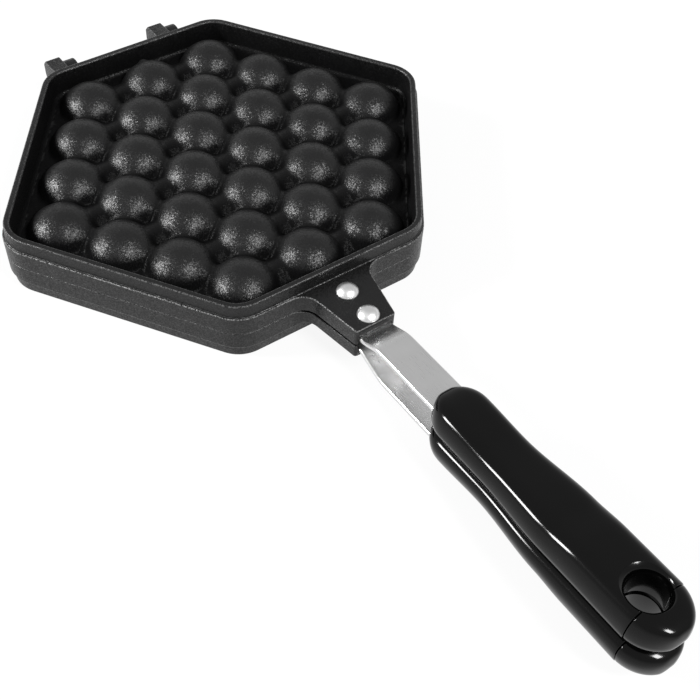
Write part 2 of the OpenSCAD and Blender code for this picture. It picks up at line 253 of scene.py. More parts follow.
def ball_places(cast):
    """Ball centres: seven rows, and each row has a ball less than its neighbour nearer the middle."""
    i = np.arange(ROWS) - (ROWS - 1) / 2
    counts = (WIDEST - np.abs(i)).astype(int)
    return np.array([(a * cast.row_pitch, (j - (n - 1) / 2) * cast.ball_pitch)
                     for a, n in zip(i, counts) for j in range(n)])


def slant(cast):
    """Unit normal of a slanted side. The side runs along the slanted rows of balls."""
    v = np.array([cast.ball_pitch / 2, cast.row_pitch])
    return v / np.linalg.norm(v)


def hexagon(cast, inset):
    """Six corners of the outline drawn in by inset, anticlockwise from the handle's right side."""
    n = slant(cast)
    e, s = END_REACH - inset, SIDE_REACH - inset
    ys, yt = (s - n[0] * e) / n[1], s / n[1]
    return np.array([[e, -ys], [e, ys], [0, yt], [-e, ys], [-e, -ys], [0, -yt]])


def beyond_sides(cast, xy, inset):
    """How far points lie outside the six sides drawn in by inset, and below 0 inside them."""
    n = slant(cast)
    x, y = np.abs(xy).T
    return np.maximum(x - END_REACH, x * n[0] + y * n[1] - SIDE_REACH) + inset


def side_turns(cast):
    """Angles of the outward normals of the six sides, in the order of hexagon()'s sides."""
    a = np.arctan2(slant(cast)[1], slant(cast)[0])
    return np.array([0.0, a, np.pi - a, np.pi, np.pi + a, TAU - a])


def rim_path(cast, step=2.0, arc_steps=9):
    """Points of the drawn-in outline and their outward normals, going round once. A point at
    distance d outside the rim is point + (CORNER_R + d) * normal. Sides keep one normal, and at a
    corner the normal turns evenly from one side's to the next's."""
    core, turns = hexagon(cast, CORNER_R), side_turns(cast)
    points, normals = [], []
    for i in range(6):
        a, b = core[i], core[(i + 1) % 6]
        count = max(int(np.linalg.norm(b - a) / step), 2)
        t = np.linspace(0, 1, count, endpoint=False)[:, None]
        n = np.array([np.cos(turns[i]), np.sin(turns[i])])
        points.append(a + (b - a) * t)
        normals.append(np.repeat(n[None], count, 0))
        turn = (turns[(i + 1) % 6] - turns[i]) % TAU
        q = turns[i] + turn * np.linspace(0, 1, arc_steps, endpoint=False)
        points.append(np.repeat(b[None], arc_steps, 0))
        normals.append(np.stack([np.cos(q), np.sin(q)], 1))
    return np.vstack(points), np.vstack(normals)


# Cast halves

# The flange, and the tang with its half widths, roundings and end
FLANGE_X = END_REACH + LEDGE_W
FLANGE_H = 8.7
TANG_END = 117.6
TANG_ROOT_HALF = 14.7
TANG_END_HALF = 9.6
TANG_FILLET = 8.0
TANG_CORNER_R = 1.3

# The tang stands off the parting plane, and rises to its top over a short run outside the flange
TANG_LIFT = 0.6
LIFT_RUN = 1.2
LOWER_TANG_TOP = 6.7

# The channel under the tang that takes the strap
CHANNEL_HALF = 8.2
CHANNEL_X = FLANGE_X + 1.8
CHANNEL_TOP = 4.4

# Distances outside the rim: the step up to a lower tang and its slant, and the land's outer edge
STEP_AT = 1.1
STEP_SLANT = 0.4
LAND_AT = 0.6
LAND_RAKE = 0.02

# The dish: how far its hidden edge stands inside the rim, its web, and a low step by the wall
DISH_IN = 5.0
WEB_H = 1.2
WEB_BLEND = 0.35
FOOT_STEP_H = 0.3
FOOT_STEP_IN = 6.6
FOOT_STEP_SOFT = 0.25

# Bosses at the foot of the wall: x, y, radius and height
BOSSES = np.array([(79.5, 33.0, 1.9, 1.5), (80.5, -16.2, 1.9, 1.3), (-9.0, 91.5, 1.8, 1.0),
                   (-79.5, 1.0, 1.9, 1.2)])
BOSS_SOFT = 0.16

# Painted shade down between the domes: the coating's shine is lowered below this height, and is lowest this
# much lower
PAINTED_SHADE_START_H = 9.8
PAINTED_SHADE_DEPTH = 2.6


def tang_outline():
    """Plan of the tang from its right foot round its end to its left foot, with outward normals:
    a concave fillet, a side that tapers evenly, a rounded corner, and the square end."""
    a = np.arctan2(TANG_ROOT_HALF - TANG_END_HALF, TANG_END - FLANGE_X)
    cy = TANG_ROOT_HALF + TANG_FILLET * (1 - np.sin(a)) / np.cos(a)
    q = np.linspace(0, 1, 13)[:, None] * (np.pi / 2 - a) + np.pi
    fillet = np.hstack([FLANGE_X + TANG_FILLET + TANG_FILLET * np.cos(q),
                        cy + TANG_FILLET * np.sin(q)])
    fillet_n = -np.hstack([np.cos(q), np.sin(q)])
    r = TANG_CORNER_R
    corner = np.array([TANG_END - r, TANG_END_HALF - r * 0.9])
    turn = np.linspace(np.pi / 2 - a, 0.0, 7)[:, None]
    round_n = np.hstack([np.cos(turn), np.sin(turn)])
    foot, top = fillet[-1], corner + r * round_n[0]
    t = np.linspace(0, 1, 22)[1:-1, None]
    side = foot + (top - foot) * t
    side_n = np.repeat(round_n[:1], len(side), 0)
    arc = corner + r * round_n
    outside = np.linspace(arc[-1, 1], CHANNEL_HALF + 0.01, 3)[1:]
    y = np.concatenate([outside, np.linspace(CHANNEL_HALF, 0, 9)])[:, None]
    end = np.hstack([np.full_like(y, TANG_END), y])
    end_n = np.repeat([[1.0, 0.0]], len(end), 0)
    left = np.vstack([fillet, side, arc, end]), np.vstack([fillet_n, side_n, round_n, end_n])
    flip = np.array([1.0, -1.0])
    points = np.vstack([left[0] * flip, left[0][::-1][1:]])
    normals = np.vstack([left[1] * flip, left[1][::-1][1:]])
    return points, normals


def rim_profile():
    """Section of the rim and flange, as (distance outside the rim, height, painted light): painted
    edge highlight on rounded edges above 0, painted shade at the foot of the wall below 0. The first
    run goes over the rim's wall, and the second round the flange, or the tang where that stands."""
    inner = rounded_line([(-7.0, 2.0), (-5.6, 3.1), (-4.4, 3.35), (-3.5, 4.6), (-2.75, RIM_H - 0.55),
                          (-2.35, RIM_H), (0.0, RIM_H), (0.42, 9.0), (0.75, FLANGE_H)],
                         [0.6, 1.6, 1.6, 0.9, 0.5, 0.55, 0.3], painted_light=[0, 0, 0, 0.15, 0.25, 0.35, 0.15])
    outer = rounded_line([(0.65, FLANGE_H), (LEDGE_W, FLANGE_H), (LEDGE_W, 0.0), (0.9, 0.0)],
                         [0.45, 0.4], painted_light=[0.8, 0.35])
    # Painted shade at the foot of the wall inside the rim: less shine the lower a point stands
    foot = inner[:, 0] < -2.7
    inner[foot, 2] = -np.interp(inner[foot, 1], [3.6, 6.0, RIM_H], [0.9, 0.1, 0.0])
    return inner, outer


def rim_part(cast, tang_top):
    """Rim wall, ledge, flange, tang and land as one closed ring: the section carried round. Where
    it crosses the tang, its outer run follows the tang's outline instead, and the heights there
    run from the tang's lift to its top."""
    core, normal = rim_path(cast)
    tang, tang_n = tang_outline()
    reach, spare = tang[-1, 1], 0.4
    on_side = (np.abs(core[:, 0] - core[:, 0].max()) < 1e-6) & (normal[:, 0] > 0.999999)
    keep = ~(on_side & (np.abs(core[:, 1]) < reach + spare))
    flange = core + (CORNER_R + LEDGE_W) * normal
    core_t = np.stack([np.full(len(tang), core[:, 0].max()), tang[:, 1]], 1)
    before = np.arange(len(core)) < int(np.argmax(~keep))
    a, b = keep & before, keep & ~before
    core = np.vstack([core[a], core_t, core[b]])
    edge = np.vstack([flange[a], tang, flange[b]])
    edge_n = np.vstack([normal[a], tang_n, normal[b]])
    normal = np.vstack([normal[a], np.repeat([[1.0, 0.0]], len(tang), 0), normal[b]])
    count = len(core)

    # The third column is painted light: painted edge highlight above 0, painted shade below 0
    def row(base, away, along, z, painted_light=0.0):
        return np.column_stack([base + away * along, np.zeros(count) + z, np.zeros(count) + painted_light])

    on_end = (np.abs(edge[:, 1]) < CHANNEL_HALF + 0.005) & (edge[:, 0] > TANG_END - 0.01)
    out = np.clip((edge[:, 0] - FLANGE_X) / LIFT_RUN, 0.0, 1.0) * (np.abs(edge[:, 1]) < reach)
    low = np.where(on_end, CHANNEL_TOP, TANG_LIFT * out)
    high = FLANGE_H + (tang_top - FLANGE_H) * out
    inner, outer = rim_profile()
    rows = [row(core, CORNER_R + d, normal, z, painted_light) for d, z, painted_light in inner]
    if tang_top < FLANGE_H:
        face = core + (CORNER_R + STEP_AT) * normal
        rows.append(row(face, 0.0, normal, FLANGE_H))
        rows.append(row(face, STEP_SLANT * out[:, None], normal, high))
    for d, z, painted_light in outer:
        rows.append(row(edge, d - LEDGE_W, edge_n, low + (high - low) * z / FLANGE_H, painted_light))
    back = core + (CORNER_R + LAND_AT) * normal
    back[on_end] = np.column_stack([np.full(on_end.sum(), CHANNEL_X), core[on_end, 1]])
    rows.append(row(back, 0.0, normal, low))
    rows.append(row(back, -LAND_RAKE, normal, 0.0))
    land = rounded_line([(0.3, 0.0), (-6.6, 0.0), (-6.75, 1.6), (-7.0, 2.0)], [0.3, 0.0])
    rows += [row(core, CORNER_R + d, normal, z) for d, z in land[:-1]]
    grid = np.concatenate(rows)
    return grid[:, :3], grid_faces(len(rows), count, True, True), grid[:, 3]


def soft_max(fields, k):
    """Smooth largest of several heights: k times the log of the sum of exp(height / k)."""
    top = fields.max(0)
    return top + k * np.log(np.exp((fields - top) / k).sum(0))


def neighbour_pairs(balls, pitch):
    """Both ends of the line between each two balls that stand less than 1.2 pitches apart."""
    gap = np.linalg.norm(balls[:, None] - balls[None], axis=2)
    i, j = np.nonzero((gap > 0) & (gap < 1.2 * pitch))
    return balls[i[i < j]], balls[j[i < j]]


def balls_height(xy, balls, radius, count):
    """Heights sqrt(R^2 - d^2) of the spheres about the count nearest balls, and below the parting
    plane where a point is outside a sphere."""
    near = np.sort(((xy[:, None] - balls[None]) ** 2).sum(2), 1)[:, :count].T
    return np.sqrt(np.maximum(radius ** 2 - near, 0.0)) - 3.0 * (near > radius ** 2)


def boss_height(xy):
    """Low round bosses: each rises by its height within its radius, with a soft edge."""
    d = np.linalg.norm(xy[:, None] - BOSSES[None, :, :2], axis=2)
    return (BOSSES[:, 3] / (1.0 + np.exp((d - BOSSES[:, 2]) / BOSS_SOFT))).sum(1)


def outside_height(cast, xy):
    """Height of the domed face: the smooth largest of the floor, the dropped spheres about the
    balls and bars sqrt(r^2 - d^2) about the lines between neighbours, plus a low step and a few
    ejector bosses along the foot of the wall."""
    balls = ball_places(cast)
    domes = balls_height(xy, balls, cast.dome_r, 3) - cast.dome_drop
    a, b = neighbour_pairs(balls, cast.ball_pitch)
    ab = b - a
    t = np.clip(((xy[:, None] - a) * ab).sum(2) / (ab ** 2).sum(1), 0, 1)
    off = ((xy[:, None] - a - t[..., None] * ab) ** 2).sum(2).min(1)
    bars = np.sqrt(np.maximum(cast.ridge_r ** 2 - off, 0.0))[None]
    step = FOOT_STEP_H / (1.0 + np.exp(-beyond_sides(cast, xy, FOOT_STEP_IN) / FOOT_STEP_SOFT))
    floor = np.full((1, len(xy)), cast.floor_h) + step
    return soft_max(np.vstack([domes, bars, floor]), cast.blend_mm) + boss_height(xy)


def inside_height(cast, xy):
    """Height of the cooking face: the smooth largest of the sunk web and spheres about the balls."""
    pocket = balls_height(xy, ball_places(cast), cast.pocket_r, 1)
    return soft_max(np.vstack([pocket, np.full((1, len(xy)), WEB_H)]), WEB_BLEND)


def clip_by_line(poly, n, c):
    """The part of a convex outline where the dot product with n is at most c."""
    side = poly @ n - c
    out = []
    for i in range(len(poly)):
        j = (i + 1) % len(poly)
        if side[i] <= 1e-9:
            out.append(poly[i])
        if (side[i] < -1e-9 and side[j] > 1e-9) or (side[i] > 1e-9 and side[j] < -1e-9):
            out.append(poly[i] + (poly[j] - poly[i]) * side[i] / (side[i] - side[j]))
    return np.array(out)


def ball_cells(cast):
    """For each ball, the outline of the plan that is nearer to it than to any other ball, cut off
    at the dish's edge under the rim."""
    balls = ball_places(cast)
    core, normal = rim_path(cast, step=4 * END_REACH, arc_steps=6)
    edge = core + (CORNER_R - DISH_IN) * normal
    keep = np.linalg.norm(np.roll(edge, -1, 0) - edge, axis=1) > 1e-6
    edge = edge[keep]
    for ball in balls:
        cell = edge
        for other in balls:
            v = other - ball
            gap = np.linalg.norm(v)
            if 0 < gap < 2.1 * cast.ball_pitch:
                cell = clip_by_line(cell, v / gap, (v / gap) @ (ball + other) / 2)
        yield ball, cell


def walk(cell, step=2.1):
    """Points along a closed outline, spaced alike from either end of each side, so that
    neighbouring cells share them."""
    out = []
    for i in range(len(cell)):
        a, b = cell[i], cell[(i + 1) % len(cell)]
        count = max(int(np.ceil(np.linalg.norm(b - a) / step - 1e-6)), 1)
        out.append(a + (b - a) * np.linspace(0, 1, count, endpoint=False)[:, None])
    return np.vstack(out)


def dish_parts(cast):
    """Domed face and cooking face, each as one grid of rings round every ball: circles out to the
    last ring, then steps from there to the outline of the ball's cell. The third item of a part
    is painted shade: how much its shine is lowered, from 0 at the shine height to -1 below it."""
    rings_out = np.array([0, 1.6, 3.2, 4.8, 6.2, 7.4, 8.5, 9.4, 10.2, 10.9, 11.5, 12, 12.4, 12.8,
                          13.2, 13.6])
    rings_in = np.array([0, 2.5, 5, 7, 8.6, 9.9, 10.8, 11.4, 11.75, 11.95, 12.15, 12.5])
    steps_out = np.array([0.1, 0.2, 0.32, 0.46, 0.62, 0.8, 1.0])
    steps_in = np.array([0.2, 0.5, 1.0])
    parts = []
    for ball, cell in ball_cells(cast):
        loop = walk(cell) - ball
        length = np.linalg.norm(loop, axis=1)
        along = loop / length[:, None]
        for rings, steps, height in ((rings_out, steps_out, outside_height),
                                     (rings_in, steps_in, inside_height)):
            last = rings[-1]
            radius = np.vstack([np.repeat(rings[:, None], len(loop), 1),
                                last + (length - last)[None] * steps[:, None]])
            radius = np.minimum(radius, length[None])
            xy = (radius[..., None] * along[None]).reshape(-1, 2) + ball
            pts = np.column_stack([xy, height(cast, xy)])
            # Painted shade: lower points, down between the domes, get less shine
            painted_shade = -np.clip((PAINTED_SHADE_START_H - pts[:, 2]) / PAINTED_SHADE_DEPTH, 0.0, 1.0)
            parts.append((pts, grid_faces(len(radius), len(loop), False, True), painted_shade))
    return parts


def dish_edge(cast):
    """The hidden upright edge of the dish, inside the rim: its outline at both faces' heights. The
    outline is the cells' points on the drawn-in sides and corners, in the order of their angles."""
    xy = np.vstack([walk(cell) for ball, cell in ball_cells(cast)])
    side = beyond_sides(cast, xy, DISH_IN)
    to_corner = np.linalg.norm(xy[:, None] - hexagon(cast, CORNER_R)[None], axis=2).min(1)
    corner = to_corner - (CORNER_R - DISH_IN)
    rim = xy[(side > -0.01) | ((side > -2.6) & (corner > -0.2) & (corner < 0.1))]
    rim = rim[np.argsort(np.arctan2(rim[:, 1], rim[:, 0]))]
    rim = rim[np.linalg.norm(np.roll(rim, -1, 0) - rim, axis=1) > 1e-4]
    low = np.column_stack([rim, inside_height(cast, rim)])
    high = np.column_stack([rim, outside_height(cast, rim)])
    return np.vstack([low, high]), grid_faces(2, len(rim), False, True)


# Hinge

HINGE_SHIFT = -3.1
HINGE_HALF = 27.85
UPPER_KNUCKLE_W = 7.7
LOWER_KNUCKLE_W = 5.9
KNUCKLE_GAP = 0.5
PAIR_W = UPPER_KNUCKLE_W + KNUCKLE_GAP + LOWER_KNUCKLE_W

# Radius, height of the top and bore of the knuckles on each half
UPPER_KNUCKLE = (6.6, 7.2, 2.08)
LOWER_KNUCKLE = (6.0, 6.0, 2.02)
LUG_LOW = 0.9
LUG_EDGE = 0.55
BORE_EDGE = 0.25
PIN_R = 2.0
PIN_EDGE = 0.3


def hinge_start(side):
    """Where the knuckles of the hinge on a side (-1 right, 1 left) start along y."""
    return HINGE_SHIFT + side * HINGE_HALF - PAIR_W / 2


def lug_part(knuckle, y0, w):
    """A hinge lug: its side view carried across its width, with rounded edges, and a bore. The
    side view is a knuckle that is flat on top and an arm that runs level into the flange. Each of
    its points has one on the bore at the same angle about the pin."""
    knuckle_r, top, bore_r = knuckle
    q = np.radians(np.linspace(180, 322, 24))
    lower = np.column_stack([PIN_X + knuckle_r * np.cos(q), knuckle_r * np.sin(q)])
    back = PIN_X - knuckle_r
    rest = rounded_line([lower[-1], (PIN_X + knuckle_r * 0.97, LUG_LOW), (-FLANGE_X, LUG_LOW),
                         (-END_REACH, LUG_LOW), (-END_REACH, FLANGE_H), (-FLANGE_X, FLANGE_H),
                         (back + 2.2, top), (back, top - 2.6), (back, 0.0)],
                        [1.5, 0, 0, 0, 2.0, 1.2, 1.2], 5)[1:-1]
    loop = np.vstack([lower, rest])
    ahead, behind = np.roll(loop, -1, 0) - loop, loop - np.roll(loop, 1, 0)
    ahead /= np.linalg.norm(ahead, axis=1)[:, None]
    behind /= np.linalg.norm(behind, axis=1)[:, None]
    tangent = ahead + behind
    normal = np.column_stack([tangent[:, 1], -tangent[:, 0]])
    normal /= np.linalg.norm(normal, axis=1)[:, None]
    away = loop - [PIN_X, 0.0]
    away /= np.linalg.norm(away, axis=1)[:, None]
    t = np.radians([90, 67, 45, 22, 0])
    rows, painted_light_level = [], []
    for r, depth in ((bore_r, BORE_EDGE), (bore_r + BORE_EDGE, 0.0), (bore_r + BORE_EDGE + 0.3, 0.0)):
        x, z = PIN_X + r * away[:, 0], r * away[:, 1]
        rows.append(np.column_stack([x, np.full(len(loop), y0 + depth), z]))
        painted_light_level.append(0.0)
    # Painted edge highlight on the lug's rounded edges, most at their middle
    for inset, depth, painted_light in zip(LUG_EDGE * (1 - np.cos(t)), LUG_EDGE * (1 - np.sin(t)),
                                  (0, 0.4, 0.5, 0.4, 0)):
        x, z = (loop - inset * normal).T
        rows.append(np.column_stack([x, np.full(len(loop), y0 + depth), z]))
        painted_light_level.append(painted_light)
    half = np.stack(rows)
    other = half[::-1].copy()
    other[..., 1] = 2 * y0 + w - other[..., 1]
    grid = np.concatenate([half, other])
    faces = grid_faces(len(grid), len(loop), True, True)
    return grid.reshape(-1, 3), faces, np.repeat(painted_light_level + painted_light_level[::-1], len(loop))


# Straps

# Top of the strap under the tang, where it starts and bends up, the lengths of the rises, the
# radii of the bends and of its edges, and how far it reaches into the grip
STRAP_TOP = 4.3
STRAP_START = FLANGE_X + 2.0
STRAP_BEND = TANG_END + 1.4
UPPER_RISE_L = 10.2
LOWER_RISE_L = 14.0
BEND_RADII = (11.0, 13.0)
STRAP_EDGE_R = 0.75
STRAP_IN_GRIP = 62.0

# The handle's slope and where it starts, and where the grip starts on it
SLOPE_X = 135.0
SLOPE = np.radians(3.5)
STRAP_OFFSET = 7.9
GRIP_FRONT = 26.6
GRIP_L = 123.0


def strap_line(handle, up, rise_l):
    """Side view of a strap's middle line: level under the tang, a rise, and the sloped handle."""
    z0 = STRAP_TOP - handle.strap_t / 2
    x2 = STRAP_BEND + rise_l
    second = (x2, STRAP_OFFSET + (x2 - SLOPE_X) * np.tan(up * SLOPE))
    reach = GRIP_FRONT + STRAP_IN_GRIP
    last = (SLOPE_X + reach * np.cos(SLOPE), STRAP_OFFSET + reach * np.sin(up * SLOPE))
    return rounded_line([(STRAP_START, z0), (STRAP_BEND, z0), second, last], BEND_RADII, 10)


def strap_part(handle, up, rise_l):
    """A flat bar with rounded edges carried along its side view: the section's two axes are y and
    the line's normal."""
    line = strap_line(handle, up, rise_l)
    run = np.gradient(line, axis=0)
    run /= np.linalg.norm(run, axis=1)[:, None]
    normal = np.column_stack([-run[:, 1], run[:, 0]])
    w, t = handle.strap_w / 2, handle.strap_t / 2
    corners = [(0, t), (w, t), (w, -t), (-w, -t), (-w, t), (0, t)]
    ring = rounded_line(corners, [STRAP_EDGE_R] * 4, 5)[:-1]
    grid = np.stack([line[:, :1] + normal[:, :1] * ring[:, 1],
                     np.repeat(ring[None, :, 0], len(line), 0),
                     line[:, 1:] + normal[:, 1:] * ring[:, 1]], -1)
    faces = grid_faces(len(line), len(ring), False, True) + end_faces(len(line), len(ring))
    return grid.reshape(-1, 3), faces


# Rivets and pins

RIVET_R = 4.75
RIVET_H = 2.6
SHANK_R = 2.5
TAIL_R = 3.8
TAIL_TOP = 2.0
TAIL_LOW = 1.1
RIVET_PLACES = {"rear": FLANGE_X + 8.0, "front": FLANGE_X + 22.7}


def turned_part(profile, place, turns=48):
    """A profile of (radius, height) turned about the upright line through place."""
    q = np.linspace(0, TAU, turns, endpoint=False)
    r, z = np.asarray(profile).T
    grid = np.stack([place[0] + r[:, None] * np.cos(q), place[1] + r[:, None] * np.sin(q),
                     np.repeat(z[:, None], turns, 1)], -1)
    return grid.reshape(-1, 3), grid_faces(len(r), turns, False, True)


def rivet_part(x, seat):
    """Head on the tang's face at height seat: z = seat + h (1 - (r/R)^2.35)^0.72, a dome with a
    slightly flattened crown. Below it are the shank and the flat tail behind the strap."""
    r = RIVET_R * np.sin(np.linspace(0, 1, 15) * np.pi / 2)
    z = seat + RIVET_H * (1 - (r / RIVET_R) ** 2.35) ** 0.72
    rest = [(RIVET_R - 0.03, seat - 0.08), (SHANK_R + 0.1, seat - 0.1), (SHANK_R, seat - 0.2),
            (SHANK_R, TAIL_TOP + 0.1), (TAIL_R - 0.05, TAIL_TOP), (TAIL_R, TAIL_TOP - 0.1),
            (TAIL_R, TAIL_LOW + 0.1), (TAIL_R - 0.15, TAIL_LOW), (0, TAIL_LOW)]
    return turned_part(np.vstack([np.column_stack([r, z]), rest]), (x, 0.0))


def pin_part(side):
    """A hinge pin: a rod across both knuckles, with broken edges at its ends."""
    r, end = PIN_R - PIN_EDGE, PAIR_W - PIN_EDGE
    profile = [(0, 0), (r, 0), (PIN_R, PIN_EDGE), (PIN_R, end), (r, PAIR_W), (0, PAIR_W)]
    part, faces = turned_part(profile, (0.0, 0.0), 40)
    return np.column_stack([PIN_X + part[:, 0], hinge_start(side) + part[:, 2], -part[:, 1]]), faces


# Grips

# Half widths and heights at shares of the grip's length
STATIONS = np.array([0.0, 0.1, 0.29, 0.56, 0.68, 1.0])
HALF_WIDTHS = np.array([11.9, 11.9, 11.7, 13.7, 13.8, 13.8])
HEIGHTS = np.array([14.1, 14.1, 12.9, 14.5, 15.8, 15.8])

# Powers of the section's curve on the back and on the face towards the other handle, and how much
# of the width the back loses
BACK_POWER = 4.5
FACE_POWER = 3.4
BACK_TAPER = 0.17
SKIN_TURNS = 72

# Half the gap between the grips, the rounded ends' lengths, and where the hanging hole stands
GRIP_GAP = 0.45
CAP_L = 12.5
NOSE_L = 14.5
HOLE_S = 105.6

# The seam between grip and ring: half its gap, its edges' rounding, and how much lower the ring is
SEAM = GRIP_L - 13.0
SEAM_GAP = 0.12
SEAM_EDGE = 0.45
RING_DROP = 0.3


def eased(u, values):
    """Values between stations, each run eased by 3t^2 - 2t^3 so that it leaves them level."""
    i = np.clip(np.searchsorted(STATIONS, u, side="right") - 1, 0, len(STATIONS) - 2)
    t = np.clip((u - STATIONS[i]) / (STATIONS[i + 1] - STATIONS[i]), 0, 1)
    return values[i] + (values[i + 1] - values[i]) * t * t * (3 - 2 * t)


def grip_section(s, inset):
    """Half width, half height and middle height of the section at s. Both ends round over as
    ellipses."""
    k = np.sqrt(np.clip(1 - (1 - np.clip(s / CAP_L, 0, 1)) ** 2, 1e-4, 1))
    k = k * np.sqrt(np.clip(1 - (np.clip(s - GRIP_L + NOSE_L, 0, NOSE_L) / NOSE_L) ** 2, 1e-4, 1))
    h = eased(s / GRIP_L, HEIGHTS)
    a = (eased(s / GRIP_L, HALF_WIDTHS) - inset / 2) * k
    b = (h / 2 - inset) * (0.35 + 0.65 * k) * np.minimum(1, 3 * k)
    return a, b, GRIP_GAP + h / 2


def seam_edge():
    """Rounded edge at the seam, from its face to the full section: the distance of each section
    from the seam, gap + r (1 - sin t), and how far it is drawn in, r (1 - cos t)."""
    t = np.radians([90, 67.5, 45, 22.5, 0])
    return SEAM_GAP + SEAM_EDGE * (1 - np.sin(t)), SEAM_EDGE * (1 - np.cos(t))


def grip_skin(places, inset, drawn_in):
    """Closed skin through superellipse sections: |y/a|^p + |z/b|^p = 1, with one power above and
    another on the side that faces the other handle. Above, the width also narrows to the back."""
    q = TAU * (np.arange(SKIN_TURNS) + 0.5) / SKIN_TURNS
    p = 2.0 / np.where(np.sin(q) > 0, BACK_POWER, FACE_POWER)
    cy, cz = np.sign(np.cos(q)) * np.abs(np.cos(q)) ** p, np.sign(np.sin(q)) * np.abs(np.sin(q)) ** p
    a, b, mid = grip_section(places, inset)
    narrow = 1.0 - BACK_TAPER * np.maximum(cz, 0.0)
    grid = np.stack([np.repeat(places[:, None], SKIN_TURNS, 1), (a - drawn_in)[:, None] * cy * narrow,
                     mid[:, None] + (b - drawn_in)[:, None] * cz], -1)
    faces = grid_faces(len(places), SKIN_TURNS, False, True) + end_faces(len(places), SKIN_TURNS)
    return grid.reshape(-1, 3), faces


def along_handle(points, up):
    """From the handle's own axes to the pan's: a turn by the slope, and a shift to its start."""
    s, y, h = (np.asarray(points) + [GRIP_FRONT, 0, 0]).T
    c, n = np.cos(SLOPE), up * np.sin(SLOPE)
    return np.column_stack([SLOPE_X + s * c - h * n, y, s * n + h * c])


def cut_by(piece, part, up):
    """Cuts a closed part of a handle (up 1 above, -1 below) out of a piece, exactly."""
    mesh = bpy.data.meshes.new("cutter")
    mesh.from_pydata(to_frame(along_handle(part[0], up) * [1, 1, up]).tolist(), [], part[1])
    weld(mesh)
    cutter = bpy.data.objects.new("cutter", mesh)
    bpy.context.scene.collection.objects.link(cutter)
    mod = piece.modifiers.new("hole", "BOOLEAN")
    mod.object, mod.operation, mod.solver = cutter, "DIFFERENCE", "EXACT"
    bpy.context.view_layer.update()
    done = bpy.data.meshes.new_from_object(piece.evaluated_get(bpy.context.evaluated_depsgraph_get()))
    piece.modifiers.clear()
    piece.data = done
    bpy.data.objects.remove(cutter)
    done.shade_smooth()
    done.set_sharp_from_angle(angle=np.radians(32))


def hole_cutter(handle):
    """The hanging hole: a cylinder that flares where it meets the grip's back."""
    r = handle.hole_r
    profile = [(0, -3), (r + 0.8, -3), (r + 0.8, GRIP_GAP - 0.1), (r, GRIP_GAP + 0.7), (r, 14.0),
               (r + 0.25, 14.7), (r + 0.9, 15.4), (r + 2.2, 16.2), (r + 3.5, 19), (0, 19)]
    return turned_part(profile, (HOLE_S, 0.0), 96)


def handle_pair(handle, skin, plastic, kind):
    """The same skin on the upper and on the lower handle, with the hanging hole cut through it."""
    for up, side in ((1, "upper"), (-1, "lower")):
        part = along_handle(skin[0], up), skin[1]
        name = f"{side}_{kind}"
        piece = make_piece(name + "_body", [part] if up > 0 else mirrored([part]), side + "_half",
                           plastic, [name])
        cut_by(piece, hole_cutter(handle), up)


# Materials

# The coating's flakes, their tilt, the grey of the painted edge highlight, and the shine from full painted
# shade to none
FLAKE_SCALE = 2500.0
FLAKE_TILT = 0.32
PAINTED_HIGHLIGHT_GREY = (0.2, 0.2, 0.2, 1)
PAINTED_SHADE_SHINE = (0.03, 0.34)


def new_material(name):
    """A node material, its tree and its main shader."""
    material = bpy.data.materials.new(name)
    material.use_nodes = True
    tree = material.node_tree
    return material, tree, tree.nodes["Principled BSDF"]


def add(tree, kind, **settings):
    """A new node: each setting is the value of a socket of that name, or else a property."""
    node = tree.nodes.new(kind)
    for key, value in settings.items():
        if key in node.inputs:
            node.inputs[key].default_value = value
        else:
            setattr(node, key, value)
    return node


def fed(tree, node, *sockets):
    """Links sockets to a node's inputs in their order, and gives its first output."""
    for place, socket in enumerate(sockets):
        tree.links.new(socket, node.inputs[place])
    return node.outputs[0]


def noise(tree, where, scale, detail, roughness=0.5):
    """Cloudy noise on the coordinates given."""
    node = add(tree, "ShaderNodeTexNoise", Scale=scale, Detail=detail, Roughness=roughness)
    tree.links.new(where, node.inputs["Vector"])
    return node.outputs["Fac"]


def ranged(tree, value, start, end):
    """A value carried evenly from the range start to the range end, and held at its limits."""
    node = add(tree, "ShaderNodeMapRange")
    node.inputs["From Min"].default_value, node.inputs["From Max"].default_value = start
    node.inputs["To Min"].default_value, node.inputs["To Max"].default_value = end
    tree.links.new(value, node.inputs["Value"])
    return node.outputs["Result"]


def bumped(tree, height, strength, distance):
    """The normal of a surface with this height on it."""
    node = add(tree, "ShaderNodeBump", Strength=strength, Distance=distance)
    tree.links.new(height, node.inputs["Height"])
    return node.outputs["Normal"]


